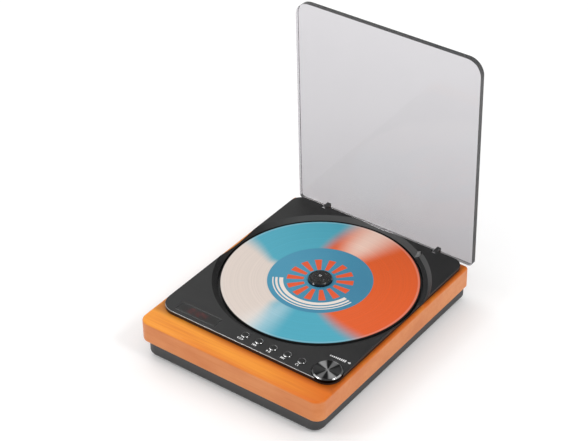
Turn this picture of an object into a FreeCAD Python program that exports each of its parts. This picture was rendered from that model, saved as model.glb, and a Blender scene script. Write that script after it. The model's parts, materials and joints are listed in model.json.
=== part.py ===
import FreeCAD
import Part
import Sketcher

import math
import os

# A low bluetooth CD player: a wooden plinth on a dark base, a black deck with an open disc well,
# a clear hinged lid, five buttons, a volume knob, and the disc drive and its boards inside.
# Millimetres and degrees. +X is to the right, +Y to the back, +Z up. The lid stands open.
# The origin is on the floor, under the middle of the whole outline with the lid open.

SIZES = {
    # Disc
    "disc_radius": 60.0,
    "disc_thickness": 1.2,
    "disc_hole_radius": 7.5,
    # Deck around the disc, plinth around the deck
    "side_margin": 2.3,
    "back_margin": 2.9,
    "control_strip": 16.6,
    "side_ledge": 2.7,
    "back_ledge": 0.7,
    "front_ledge": 15.0,
    # Heights of the stacked case pieces
    "foot_height": 1.0,
    "base_height": 10.6,
    "plinth_height": 14.2,
    "deck_height": 2.5,
    # Plinth
    "plinth_front_corner": 6.5,
    "plinth_back_corner": 2.5,
    "plinth_top_round": 1.6,
    "plinth_bottom_round": 0.8,
    "plinth_side_wall": 6.5,
    "plinth_front_wall": 17.5,
    "plinth_back_wall": 8.0,
    "cavity_corner_radius": 2.0,
    # Base pan and feet
    "base_side_inset": 2.7,
    "base_front_inset": 2.0,
    "base_back_margin": 1.9,
    "base_front_corner": 7.0,
    "base_back_corner": 3.5,
    "base_bottom_round": 2.8,
    "base_wall": 2.0,
    "base_back_wall": 3.0,
    "base_floor": 1.6,
    "foot_radius": 6.0,
    "foot_seat": 0.5,
    "foot_side_gap": 18.0,
    "foot_end_gap": 10.0,
    # Deck and disc well
    "deck_knob_corner": 9.0,
    "deck_front_corner": 11.0,
    "deck_back_corner": 7.5,
    "deck_edge_round": 0.4,
    "disc_drop": 1.8,
    "rim_gap": 4.7,
    "edge_gap": 1.4,
    "step_height": 0.3,
    "under_disc_gap": 1.1,
    "tub_floor": 1.2,
    "tub_wall": 0.7,
    "tub_clearance": 0.3,
    "scoop_floor": 2.8,
    "scoop_width": 1.8,
    "scoop_start_angle": 12.0,
    "scoop_end_angle": 57.0,
    # Case screws and the bosses that they clamp
    "case_boss_radius": 3.5,
    "case_boss_gap": 1.0,
    "case_boss_front": 20.0,
    "case_boss_back": 11.5,
    "case_boss_top": 14.0,
    "case_screw_radius": 1.3,
    "case_screw_bite": 8.0,
    "case_head_radius": 2.7,
    "case_head_height": 1.8,
    "screw_fit": 0.02,
    "screw_clearance": 0.3,
    "recess_depth": 0.6,
    "recess_reach": 0.62,
    "recess_width": 0.16,
    # Lid and its hinges
    "lid_thickness": 3.8,
    "lid_gap": 4.0,
    "lid_drop": 3.4,
    "lid_overhang": 1.3,
    "lid_side_inset": 0.5,
    "lid_front_corner": 10.0,
    "lid_back_corner": 3.0,
    "lid_edge_round": 0.4,
    "lid_lean": 1.0,
    "hinge_spacing": 82.2,
    "hinge_inset": 1.5,
    "hinge_pin_radius": 0.45,
    "hinge_pin_bite": 2.0,
    "hinge_barrel_radius": 0.7,
    "hinge_arm_width": 2.6,
    "hinge_side_gap": 0.4,
    "hinge_pad_thickness": 0.7,
    "hinge_pad_drop": 2.5,
    "running_fit": 0.05,
    "clearance": 0.3,
    # Volume knob and its encoder
    "knob_radius": 8.9,
    "knob_height": 2.1,
    "knob_proud": 1.1,
    "knob_chamfer": 0.6,
    "knob_dish": 0.25,
    "knob_gap": 0.4,
    "knob_boss_radius": 2.6,
    "shaft_radius": 1.5,
    "shaft_depth": 1.0,
    "bushing_radius": 3.0,
    "encoder_width": 9.0,
    "encoder_height": 3.6,
    # Buttons and switches
    "button_pitch": 10.0,
    "button_from_knob": 16.5,
    "button_inset": 7.5,
    "button_radius": 2.5,
    "button_proud": 0.5,
    "button_edge": 0.35,
    "button_gap": 0.25,
    "button_flange_radius": 3.2,
    "button_flange_height": 0.9,
    "button_travel": 0.4,
    "switch_width": 6.0,
    "switch_height": 2.0,
    "plunger_radius": 1.5,
    "plunger_gap": 0.1,
    # Display
    "window_left_gap": 11.0,
    "window_right_gap": 19.5,
    "window_depth": 7.5,
    "window_thickness": 0.8,
    "window_ledge": 1.0,
    "window_inset": 7.0,
    "window_fit": 0.1,
    "digits_left_gap": 1.5,
    "digits_right_gap": 1.0,
    "digits_depth": 4.8,
    "receiver_width": 3.0,
    "receiver_right_gap": 1.5,
    # Control board under the deck's front strip
    "board_thickness": 1.6,
    "control_board_drop": 4.4,
    "control_board_depth": 10.0,
    "control_board_gap": 1.0,
    "board_boss_radius": 2.2,
    "board_boss_left": 6.2,
    "board_boss_middle": 12.5,
    "board_boss_right": 9.5,
    "board_screw_radius": 0.9,
    "board_screw_bite": 3.0,
    "board_head_radius": 1.7,
    "board_head_height": 1.0,
    # Turntable hub, spindle and motor
    "hub_flange_radius": 13.0,
    "hub_flange_height": 1.7,
    "hub_fit": 0.1,
    "hub_spigot_height": 1.4,
    "hub_neck_radius": 7.15,
    "hub_neck_height": 1.5,
    "hub_bevel": 0.5,
    "hub_cap_radius": 5.2,
    "hub_cap_height": 1.1,
    "hub_boss_radius": 4.0,
    "hub_boss_height": 2.4,
    "hub_hole_gap": 0.6,
    "ball_radius": 0.85,
    "ball_reach": 0.2,
    "ball_fit": 0.05,
    "spindle_radius": 1.0,
    "spindle_proud": 0.3,
    "spindle_depth": 5.5,
    "motor_radius": 11.5,
    "motor_height": 7.5,
    # Drive chassis on its posts and dampers
    "chassis_thickness": 2.0,
    "chassis_gap": 4.0,
    "chassis_half_width": 34.0,
    "chassis_back": 20.0,
    "window_share": 0.3235,
    "post_radius": 2.8,
    "post_inset": 9.0,
    "post_back": 14.2,
    "damper_radius": 4.0,
    "damper_height": 3.0,
    "chassis_screw_radius": 1.0,
    "chassis_screw_bite": 6.0,
    "chassis_head_radius": 2.0,
    "chassis_head_height": 1.2,
    # Pickup sled, its rods and its lead screw
    "lens_inner": 24.0,
    "lens_edge": 3.0,
    "lens_radius": 2.8,
    "lens_height": 1.6,
    "sled_share": 0.294,
    "wing_share": 0.559,
    "sled_front": 4.8,
    "sled_back": 11.0,
    "sled_wing_height": 4.0,
    "sled_drop": 0.6,
    "sled_end_gap": 2.0,
    "sled_top_gap": 1.2,
    "rod_radius": 1.5,
    "rod_share": 0.456,
    "bracket_width": 6.5,
    "bracket_depth": 3.0,
    "screw_share": 0.662,
    "lead_screw_radius": 1.25,
    "follower_width": 6.0,
    "sled_motor_radius": 3.5,
    "sled_motor_length": 16.0,
    # Main board and what stands on it
    "main_board_side_gap": 4.5,
    "main_board_front_gap": 6.4,
    "main_board_back_gap": 1.5,
    "board_lift_share": 0.5,
    "standoff_radius": 2.5,
    "standoff_inset": 4.0,
    "standoff_back": 9.0,
    "inlet_inset": 24.0,
    "inlet_width": 8.9,
    "inlet_height": 3.2,
    "inlet_depth": 7.3,
    "inlet_wall": 0.35,
    "inlet_tongue": 0.7,
    "jack_inset": 24.0,
    "jack_width": 7.0,
    "jack_depth": 11.0,
    "jack_bore_radius": 1.75,
    "jack_barrel_radius": 2.6,
    "port_gap": 0.3,
    "chip_width": 12.0,
    "chip_height": 1.4,
    "module_width": 16.0,
    "module_depth": 12.0,
    "module_height": 2.2,
    "module_inset": 18.0,
    "module_front_gap": 2.0,
    "capacitor_radius": 3.0,
    "capacitor_height": 6.0,
    "capacitor_inset": 16.0,
    "capacitor_pitch": 8.0,
}

BUTTON_NAMES = ("mode_button", "previous_button", "play_button", "next_button", "repeat_button")
BALL_COUNT = 3
FIRST_BALL_TURN = 30
BALL_TURNS = [FIRST_BALL_TURN + 360 / BALL_COUNT * n for n in range(BALL_COUNT)]
CAPACITOR_COUNT = 3
SAME_LEVEL = 1e-6


class Size:
    """A number together with the sheet formula that gives it."""

    def __init__(self, value, formula):
        self.value = value
        self.formula = formula

    def __add__(self, other):
        return combined(self, "+", other)

    def __radd__(self, other):
        return combined(other, "+", self)

    def __sub__(self, other):
        return combined(self, "-", other)

    def __rsub__(self, other):
        return combined(other, "-", self)

    def __mul__(self, other):
        return combined(self, "*", other)

    def __rmul__(self, other):
        return combined(other, "*", self)

    def __truediv__(self, other):
        return combined(self, "/", other)

    def __neg__(self):
        return combined(0, "-", self)


def as_size(number):
    if isinstance(number, Size):
        return number
    return Size(number, repr(number))


def combined(first, sign, second):
    first = as_size(first)
    second = as_size(second)
    results = {
        "+": first.value + second.value,
        "-": first.value - second.value,
        "*": first.value * second.value,
        "/": first.value / second.value if second.value else 0.0,
    }
    return Size(results[sign], f"({first.formula} {sign} {second.formula})")


class Sheet:
    """The document's sheet of driving sizes, read by name."""

    def __init__(self, document):
        self.cells = document.addObject("Spreadsheet::Sheet", "dims")
        for row, (name, value) in enumerate(SIZES.items(), start=1):
            self.cells.set(f"A{row}", name)
            self.cells.set(f"B{row}", str(value))
            self.cells.setAlias(f"B{row}", name)
        document.recompute()

    def __getattr__(self, name):
        return Size(float(SIZES[name]), f"dims.{name}")


doc = FreeCAD.newDocument("cd_player")
d = Sheet(doc)
subparts = []

# Widths and the places along X
deck_half = d.disc_radius + d.side_margin
plinth_half = deck_half + d.side_ledge
base_half = plinth_half - d.base_side_inset
cavity_half = plinth_half - d.plinth_side_wall

# Places along Y, from the plinth's front edge to the back of the open lid
plinth_depth = (d.front_ledge + d.control_strip + d.disc_radius * 2 + d.back_margin + d.back_ledge)
whole_depth = plinth_depth + d.lid_gap + d.lid_thickness
plinth_front = -(whole_depth / 2)
plinth_back = plinth_front + plinth_depth
deck_front = plinth_front + d.front_ledge
deck_back = plinth_back - d.back_ledge
disc_y = deck_back - d.back_margin - d.disc_radius
base_front = plinth_front + d.base_front_inset
base_back = plinth_back + d.base_back_margin
cavity_front = plinth_front + d.plinth_front_wall
cavity_back = plinth_back - d.plinth_back_wall
hinge_y = deck_back - d.hinge_inset
lid_front_y = plinth_back + d.lid_gap

# Levels along Z
base_top = d.foot_height + d.base_height
plinth_top = base_top + d.plinth_height
deck_top = plinth_top + d.deck_height
base_inside = d.foot_height + d.base_floor
disc_top = deck_top - d.disc_drop
disc_bottom = disc_top - d.disc_thickness
step_z = plinth_top + d.step_height
tub_floor_z = disc_bottom - d.under_disc_gap
tub_bottom = tub_floor_z - d.tub_floor
chassis_top = tub_bottom - d.chassis_gap
chassis_bottom = chassis_top - d.chassis_thickness
post_top = chassis_bottom - d.damper_height
control_board_top = plinth_top - d.control_board_drop
control_board_bottom = control_board_top - d.board_thickness
spare_height = d.base_height - d.base_floor - d.board_thickness - d.jack_barrel_radius * 2
main_board_lift = spare_height * d.board_lift_share
main_board_bottom = base_inside + main_board_lift
main_board_top = main_board_bottom + d.board_thickness
hinge_z = plinth_top + d.clearance + d.hinge_barrel_radius
lid_bottom_z = plinth_top - d.lid_drop

# Disc well radii
well_radius = d.disc_radius + d.edge_gap
rim_radius = d.disc_radius + d.rim_gap
tub_radius = well_radius + d.tub_wall

# The lens runs from its inner radius to near the disc's edge, and the chassis reaches past it
lens_travel = d.disc_radius - d.lens_inner - d.lens_edge
chassis_reach = d.lens_inner + lens_travel + d.sled_front + d.sled_end_gap + d.bracket_depth

# The knob shares its centre with the deck's rounded corner
knob_x = deck_half - d.deck_knob_corner
knob_y = deck_front + d.deck_knob_corner
knob_recess_z = deck_top + d.knob_proud - d.knob_height - d.clearance


def keep(piece, label):
    """Names a finished sub-part and lists it for writing."""
    piece.Label = label
    subparts.append(piece)
    return piece


def bind(piece, **formulas):
    """Binds properties to sizes; a double underscore stands for the dot in a property's path."""
    for path, size in formulas.items():
        piece.setExpression(path.replace("__", "."), as_size(size).formula)


def move(piece, x, y, z):
    bind(piece, Placement__Base__x=x, Placement__Base__y=y, Placement__Base__z=z)


# Sketches

def origin_plane(body, role):
    return next(feature for feature in body.Origin.OriginFeatures if feature.Role == role)


def new_body(name):
    return doc.addObject("PartDesign::Body", name)


def new_sketch(body, name, role="XY_Plane", x=0, y=0, z=0):
    """A sketch on one of the body's planes; x, y and z shift it along the body's axes."""
    sketch = body.newObject("Sketcher::SketchObject", name)
    sketch.AttachmentSupport = [(origin_plane(body, role), "")]
    sketch.MapMode = "FlatFace"
    shifts = {
        "XY_Plane": (as_size(x), as_size(y), as_size(z)),
        "XZ_Plane": (as_size(x), as_size(z), -as_size(y)),
        "YZ_Plane": (as_size(y), as_size(z), as_size(x)),
    }
    for letter, size in zip("xyz", shifts[role]):
        sketch.setExpression(f"AttachmentOffset.Base.{letter}", size.formula)
    return sketch


def limit(sketch, kind, places, size):
    """Adds a constraint whose value follows a size."""
    size = as_size(size)
    index = sketch.addConstraint(Sketcher.Constraint(kind, *places, size.value))
    sketch.setExpression(f"Constraints[{index}]", size.formula)


def pin_point(sketch, shape, end, x, y):
    limit(sketch, "DistanceX", (-1, 1, shape, end), x)
    limit(sketch, "DistanceY", (-1, 1, shape, end), y)


def vector(x, y):
    return FreeCAD.Vector(as_size(x).value, as_size(y).value, 0)


def draw_circle(sketch, x, y, radius):
    upward = FreeCAD.Vector(0, 0, 1)
    shape = sketch.addGeometry(Part.Circle(vector(x, y), upward, as_size(radius).value))
    pin_point(sketch, shape, 3, x, y)
    limit(sketch, "Radius", (shape,), radius)


def draw_polygon(sketch, corners):
    """A closed outline of straight lines through the given corners."""
    count = len(corners)
    shapes = []
    for here in range(count):
        start = vector(*corners[here])
        finish = vector(*corners[(here + 1) % count])
        shapes.append(sketch.addGeometry(Part.LineSegment(start, finish)))
    for here in range(count):
        following = shapes[(here + 1) % count]
        sketch.addConstraint(Sketcher.Constraint("Coincident", shapes[here], 2, following, 1))
        pin_point(sketch, shapes[here], 1, *corners[here])


def draw_rectangle(sketch, left, right, low, high):
    draw_polygon(sketch, [(left, low), (right, low), (right, high), (left, high)])


def draw_rounded(sketch, left, right, low, high, *radii):
    """A rectangle with rounded corners: one radius for all, or four from the low right round."""
    radii = [as_size(radius) for radius in (radii if len(radii) == 4 else radii * 4)]
    x_low, x_high = as_size(left).value, as_size(right).value
    y_low, y_high = as_size(low).value, as_size(high).value
    first, second, third, fourth = [radius.value for radius in radii]
    lines = [
        ((x_low + fourth, y_low), (x_high - first, y_low)),
        ((x_high, y_low + first), (x_high, y_high - second)),
        ((x_high - second, y_high), (x_low + third, y_high)),
        ((x_low, y_high - third), (x_low, y_low + fourth)),
    ]
    centres = [
        (x_high - first, y_low + first),
        (x_high - second, y_high - second),
        (x_low + third, y_high - third),
        (x_low + fourth, y_low + fourth),
    ]
    upward = FreeCAD.Vector(0, 0, 1)
    quarter = math.pi / 2
    sides = [sketch.addGeometry(Part.LineSegment(vector(*a), vector(*b))) for a, b in lines]
    rounds = []
    for turn, (centre, radius) in enumerate(zip(centres, radii)):
        circle = Part.Circle(vector(*centre), upward, radius.value)
        arc = Part.ArcOfCircle(circle, (turn - 1) * quarter, turn * quarter)
        rounds.append(sketch.addGeometry(arc))
    for turn in range(4):
        following = sides[(turn + 1) % 4]
        sketch.addConstraint(Sketcher.Constraint("Tangent", sides[turn], 2, rounds[turn], 1))
        sketch.addConstraint(Sketcher.Constraint("Tangent", rounds[turn], 2, following, 1))
    for side, direction in zip(sides, ("Horizontal", "Vertical", "Horizontal", "Vertical")):
        sketch.addConstraint(Sketcher.Constraint(direction, side))
    for corner, radius in zip(rounds, radii):
        limit(sketch, "Radius", (corner,), radius)
    limit(sketch, "DistanceY", (-1, 1, sides[0], 1), low)
    limit(sketch, "DistanceX", (-1, 1, sides[1], 1), right)
    limit(sketch, "DistanceY", (-1, 1, sides[2], 1), high)
    limit(sketch, "DistanceX", (-1, 1, sides[3], 1), left)


# Features

def solid_volume(body):
    doc.recompute()
    return body.Shape.Volume


def grow(body, kind, sketch, length, backwards=False, both_ways=False):
    feature = body.newObject(f"PartDesign::{kind}", f"{sketch.Name}_{kind}")
    feature.Profile = sketch
    feature.Reversed = backwards
    feature.Midplane = both_ways
    bind(feature, Length=length)
    return feature


def pad(body, sketch, length, backwards=False, both_ways=False):
    return grow(body, "Pad", sketch, length, backwards, both_ways)


def pocket(body, sketch, length, backwards=False, both_ways=False):
    """Cuts against the sketch's facing; backwards cuts the way that it faces."""
    before = solid_volume(body)
    feature = grow(body, "Pocket", sketch, length, backwards, both_ways)
    if solid_volume(body) >= before:
        raise RuntimeError(f"{feature.Name} cuts nothing")
    return feature


def turn_cut(body, sketch, angle):
    """Cuts away a sketch turned about its own upright axis, evenly to both sides of its plane."""
    before = solid_volume(body)
    groove = body.newObject("PartDesign::Groove", f"{sketch.Name}_cut")
    groove.Profile = sketch
    groove.ReferenceAxis = (sketch, ["V_Axis"])
    groove.Midplane = True
    bind(groove, Angle=angle)
    if solid_volume(body) >= before:
        raise RuntimeError(f"{groove.Name} cuts nothing")


def revolve(body, sketch):
    feature = body.newObject("PartDesign::Revolution", f"{sketch.Name}_turn")
    feature.Profile = sketch
    feature.ReferenceAxis = (sketch, ["V_Axis"])
    feature.Angle = 360.0
    return feature


def round_edges(body, radius, level, axis="z"):
    """Rounds every edge that lies wholly at one level."""
    doc.recompute()
    base = body.Tip
    chosen = []
    for number, edge in enumerate(base.Shape.Edges, start=1):
        spots = [getattr(vertex.Point, axis) for vertex in edge.Vertexes]
        if all(abs(spot - as_size(level).value) < SAME_LEVEL for spot in spots):
            chosen.append(f"Edge{number}")
    feature = body.newObject("PartDesign::Fillet", f"{base.Name}_round")
    feature.Base = (base, chosen)
    bind(feature, Radius=radius)
    return feature


# Plain solids

def block(name, left, right, low, high, bottom, top):
    box = doc.addObject("Part::Box", name)
    bind(box, Length=as_size(right) - left, Width=as_size(high) - low, Height=as_size(top) - bottom)
    move(box, left, low, bottom)
    return box


def post(name, x, y, bottom, top, radius):
    cylinder = doc.addObject("Part::Cylinder", name)
    bind(cylinder, Radius=radius, Height=as_size(top) - bottom)
    move(cylinder, x, y, bottom)
    return cylinder


def bar(name, x, front, back, z, radius):
    """A round bar along Y."""
    cylinder = doc.addObject("Part::Cylinder", name)
    cylinder.Placement = FreeCAD.Placement(
        FreeCAD.Vector(), FreeCAD.Rotation(FreeCAD.Vector(1, 0, 0), -90))
    bind(cylinder, Radius=radius, Height=as_size(back) - front)
    move(cylinder, x, front, z)
    return cylinder


def fuse(name, pieces):
    joined = doc.addObject("Part::MultiFuse", name)
    joined.Shapes = pieces
    return joined


def cut(name, base, tool):
    left_over = doc.addObject("Part::Cut", name)
    left_over.Base = base
    left_over.Tool = tool
    return left_over


def group(name, pieces):
    bunch = doc.addObject("Part::Compound", name)
    bunch.Links = pieces
    return bunch


def screw(name, x, y, seat, tip, radius, head_radius, head_height, head_up):
    """A cross-recessed screw: its head sits on its seat, above or below, and the shank runs to its tip."""
    depth = head_height * d.recess_depth
    if head_up:
        head_low, head_high = seat, seat + head_height
        recess_low, recess_high = head_high - depth, head_high
        shank = post(f"{name}_shank", x, y, tip, seat, radius)
    else:
        head_low, head_high = seat - head_height, seat
        recess_low, recess_high = head_low, head_low + depth
        shank = post(f"{name}_shank", x, y, seat, tip, radius)
    head = post(f"{name}_head", x, y, head_low, head_high, head_radius)
    long, wide = head_radius * d.recess_reach, head_radius * d.recess_width
    cross = [
        block(f"{name}_slot_x", x - long, x + long, y - wide, y + wide, recess_low, recess_high),
        block(f"{name}_slot_y", x - wide, x + wide, y - long, y + long, recess_low, recess_high),
    ]
    return cut(name, fuse(f"{name}_solid", [head, shank]), fuse(f"{name}_cross", cross))


# Places that repeat

case_boss_x = cavity_half - d.case_boss_gap - d.case_boss_radius
case_boss_places = [
    (side * case_boss_x, y)
    for side in (-1, 1)
    for y in (deck_front + d.case_boss_front, deck_back - d.case_boss_back)
]
post_places = [
    (side * (d.chassis_half_width - d.damper_radius), y)
    for side in (-1, 1)
    for y in (disc_y - chassis_reach + d.post_inset, disc_y + d.post_back)
]
foot_places = [
    (side * (base_half - d.foot_side_gap), y)
    for side in (-1, 1)
    for y in (base_front + d.foot_end_gap, base_back - d.foot_end_gap)
]
button_row = deck_front + d.button_inset
first_button_x = knob_x - d.button_from_knob - d.button_pitch * (len(BUTTON_NAMES) - 1)
button_places = [(first_button_x + d.button_pitch * n, button_row) for n in range(len(BUTTON_NAMES))]
board_boss_places = [
    (x, button_row)
    for x in (d.board_boss_left - cavity_half, first_button_x - d.board_boss_middle,
              knob_x - d.board_boss_right)
]
main_board_half = case_boss_x - d.case_boss_radius - d.main_board_side_gap
main_board_back = base_back - d.base_back_wall - d.main_board_back_gap
main_board_front = disc_y + d.post_back + d.post_radius + d.main_board_front_gap
standoff_places = [
    (side * (main_board_half - d.standoff_inset), y)
    for side in (-1, 1)
    for y in (main_board_front + d.standoff_inset, main_board_back - d.standoff_back)
]
inlet_x = d.inlet_inset - main_board_half
jack_x = main_board_half - d.jack_inset
inlet_z = main_board_top + d.inlet_height / 2
jack_z = main_board_top + d.jack_barrel_radius
window_left = d.window_left_gap - deck_half
window_right = first_button_x - d.window_right_gap
window_y = deck_front + d.window_inset


# Case

def make_plinth():
    body = new_body("plinth")
    outline = new_sketch(body, "plinth_outline", z=base_top)
    front, back = d.plinth_front_corner, d.plinth_back_corner
    draw_rounded(outline, -plinth_half, plinth_half, plinth_front, plinth_back,
                 front, back, back, front)
    pad(body, outline, d.plinth_height)
    round_edges(body, d.plinth_top_round, plinth_top)
    round_edges(body, d.plinth_bottom_round, base_top)
    cavity = new_sketch(body, "plinth_cavity", z=plinth_top)
    draw_rounded(cavity, -cavity_half, cavity_half, cavity_front, cavity_back,
                 d.cavity_corner_radius)
    pocket(body, cavity, d.plinth_height)
    relief = new_sketch(body, "plinth_relief", z=plinth_top)
    draw_circle(relief, 0, disc_y, tub_radius + d.tub_clearance)
    pocket(body, relief, plinth_top - tub_bottom + d.tub_clearance)
    return keep(body, "plinth")


def make_base_pan():
    body = new_body("base_pan")
    outline = new_sketch(body, "base_outline", z=d.foot_height)
    front, back = d.base_front_corner, d.base_back_corner
    draw_rounded(outline, -base_half, base_half, base_front, base_back, front, back, back, front)
    pad(body, outline, d.base_height)
    round_edges(body, d.base_bottom_round, d.foot_height)
    inside = new_sketch(body, "base_inside", z=base_top)
    half = base_half - d.base_wall
    front, back = front - d.base_wall, back - d.base_wall
    draw_rounded(inside, -half, half, base_front + d.base_wall, base_back - d.base_back_wall,
                 front, back, back, front)
    pocket(body, inside, d.base_height - d.base_floor)
    add_base_posts(body)
    cut_base_holes(body)
    cut_ports(body)
    return keep(body, "base_pan")


def add_base_posts(body):
    rises = (
        ("case_tubes", case_boss_places, d.case_boss_radius, d.case_boss_top - base_inside),
        ("chassis_posts", post_places, d.post_radius, post_top - base_inside),
        ("standoffs", standoff_places, d.standoff_radius, main_board_lift),
    )
    for name, places, radius, rise in rises:
        sketch = new_sketch(body, name, z=base_inside)
        for x, y in places:
            draw_circle(sketch, x, y, radius)
        pad(body, sketch, rise)


def cut_base_holes(body):
    foot_seats = new_sketch(body, "foot_seats", z=d.foot_height)
    for x, y in foot_places:
        draw_circle(foot_seats, x, y, d.foot_radius)
    pocket(body, foot_seats, d.foot_seat, backwards=True)
    heads = new_sketch(body, "head_seats", z=d.foot_height)
    shanks = new_sketch(body, "shank_holes", z=d.foot_height)
    for x, y in case_boss_places:
        draw_circle(heads, x, y, d.case_head_radius + d.screw_clearance)
        draw_circle(shanks, x, y, d.case_screw_radius + d.screw_clearance)
    pocket(body, heads, d.case_head_height, backwards=True)
    pocket(body, shanks, d.case_boss_top, backwards=True)
    pilots = new_sketch(body, "post_pilots", z=post_top)
    for x, y in post_places:
        draw_circle(pilots, x, y, d.chassis_screw_radius + d.screw_fit)
    pocket(body, pilots, d.chassis_screw_bite)
    board_pilots = new_sketch(body, "standoff_pilots", z=main_board_bottom)
    for x, y in standoff_places:
        draw_circle(board_pilots, x, y, d.board_screw_radius + d.screw_fit)
    pocket(body, board_pilots, main_board_lift)


def cut_ports(body):
    """Openings in the back wall for the power inlet and the audio jack."""
    ports = new_sketch(body, "ports", role="XZ_Plane", y=base_back)
    half_width = d.inlet_width / 2 + d.port_gap
    half_height = d.inlet_height / 2 + d.port_gap
    draw_rounded(ports, inlet_x - half_width, inlet_x + half_width,
                 inlet_z - half_height, inlet_z + half_height, d.inlet_height / 2)
    draw_circle(ports, jack_x, jack_z, d.jack_barrel_radius + d.port_gap)
    pocket(body, ports, d.base_back_wall * 2, both_ways=True)


def make_feet():
    feet = [
        post(f"foot_{n}", x, y, 0, d.foot_height + d.foot_seat, d.foot_radius)
        for n, (x, y) in enumerate(foot_places)
    ]
    return keep(group("feet", feet), "rubber_feet")


def make_case_screws():
    seat = d.foot_height + d.case_head_height
    tip = d.case_boss_top + d.case_screw_bite - d.clearance
    screws = [
        screw(f"case_screw_{n}", x, y, seat, tip, d.case_screw_radius, d.case_head_radius,
              d.case_head_height - d.clearance, head_up=False)
        for n, (x, y) in enumerate(case_boss_places)
    ]
    return keep(group("case_screw_group", screws), "case_screws")


# Deck

def make_deck():
    body = new_body("deck")
    outline = new_sketch(body, "deck_outline", z=plinth_top)
    draw_rounded(outline, -deck_half, deck_half, deck_front, deck_back,
                 d.deck_knob_corner, d.deck_back_corner, d.deck_back_corner, d.deck_front_corner)
    pad(body, outline, d.deck_height)
    round_edges(body, d.deck_edge_round, deck_top)
    tub = new_sketch(body, "deck_tub", z=plinth_top)
    draw_circle(tub, 0, disc_y, tub_radius)
    pad(body, tub, plinth_top - tub_bottom, backwards=True)
    cut_well(body)
    cut_scoop(body)
    cut_controls(body)
    cut_hinge_notches(body)
    add_deck_bosses(body)
    return keep(body, "deck")


def cut_well(body):
    """A dished rim that breaks out at the sides and back, and the round well inside it."""
    rim = new_sketch(body, "well_rim", role="XZ_Plane", y=disc_y)
    above = deck_top + d.clearance
    draw_polygon(rim, [
        (0, step_z), (well_radius, step_z), (rim_radius, deck_top), (rim_radius, above), (0, above)])
    turn_cut(body, rim, 360)
    well = new_sketch(body, "well", z=step_z)
    draw_circle(well, 0, disc_y, well_radius)
    pocket(body, well, step_z - tub_floor_z)
    hub_hole = new_sketch(body, "hub_hole", z=tub_floor_z)
    draw_circle(hub_hole, 0, disc_y, d.hub_flange_radius + d.hub_hole_gap)
    pocket(body, hub_hole, d.tub_floor)
    slot = new_sketch(body, "lens_slot", z=tub_floor_z)
    half_slot = d.lens_radius + d.hub_hole_gap * 2
    reach = d.lens_inner + lens_travel + d.lens_radius + d.hub_hole_gap
    draw_rectangle(slot, -half_slot, half_slot, disc_y - reach, disc_y - d.hub_flange_radius)
    pocket(body, slot, d.tub_floor)


def cut_scoop(body):
    """A finger scoop in the rim at the right: a flat floor, and ramps up at its side and back end."""
    sketch = new_sketch(body, "scoop", role="XZ_Plane", y=disc_y)
    start, finish = d.scoop_start_angle, d.scoop_end_angle
    middle = (start + finish) / 2
    sketch.AttachmentOffset = FreeCAD.Placement(
        sketch.AttachmentOffset.Base, FreeCAD.Rotation(FreeCAD.Vector(0, 1, 0), middle.value))
    bind(sketch, AttachmentOffset__Rotation__Angle=middle)
    ramp_foot = well_radius + d.scoop_floor
    ramp_head = rim_radius + d.scoop_width
    above = deck_top + d.clearance
    draw_polygon(sketch, [
        (well_radius, step_z), (ramp_foot, step_z), (ramp_head, deck_top), (ramp_head, above),
        (well_radius, above)])
    turn_cut(body, sketch, finish - start)
    end = new_sketch(body, "scoop_end", role="XZ_Plane", y=disc_y)
    along_rim = 90 - finish
    end.AttachmentOffset = FreeCAD.Placement(
        end.AttachmentOffset.Base, FreeCAD.Rotation(FreeCAD.Vector(0, -1, 0), along_rim.value))
    bind(end, AttachmentOffset__Rotation__Angle=along_rim)
    rise = above - step_z
    draw_polygon(end, [(d.clearance, step_z), (d.clearance, above), (-rise, above), (0, step_z)])
    pocket(body, end, ramp_head)


def cut_controls(body):
    """Knob recess, button holes and the display's stepped opening."""
    recess = new_sketch(body, "knob_recess", z=deck_top)
    draw_circle(recess, knob_x, knob_y, d.knob_radius + d.knob_gap)
    pocket(body, recess, deck_top - knob_recess_z)
    holes = new_sketch(body, "control_holes", z=deck_top)
    draw_circle(holes, knob_x, knob_y, d.bushing_radius + d.clearance)
    for x, y in button_places:
        draw_circle(holes, x, y, d.button_radius + d.button_gap)
    pocket(body, holes, d.deck_height)
    for name, margin, depth in (
        ("window_seat", d.window_fit, d.window_thickness),
        ("window_opening", -d.window_ledge, d.deck_height),
    ):
        sketch = new_sketch(body, name, z=deck_top)
        half_depth = d.window_depth / 2 + margin
        draw_rectangle(sketch, window_left - margin, window_right + margin,
                       window_y - half_depth, window_y + half_depth)
        pocket(body, sketch, depth)


def cut_hinge_notches(body):
    notches = new_sketch(body, "hinge_notches", z=deck_top)
    half = notch_width / 2
    front = hinge_y - d.hinge_barrel_radius - d.clearance * 2
    for side in (-1, 1):
        middle = side * d.hinge_spacing / 2
        draw_rectangle(notches, middle - half, middle + half, front, deck_back + d.back_ledge)
    pocket(body, notches, d.deck_height)
    for name, side in (("left", -1), ("right", 1)):
        sketch = new_sketch(body, f"pin_hole_{name}", role="YZ_Plane",
                            x=side * d.hinge_spacing / 2)
        draw_circle(sketch, hinge_y, hinge_z, d.hinge_pin_radius + d.running_fit)
        pocket(body, sketch, pin_length + d.clearance * 2, both_ways=True)


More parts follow.
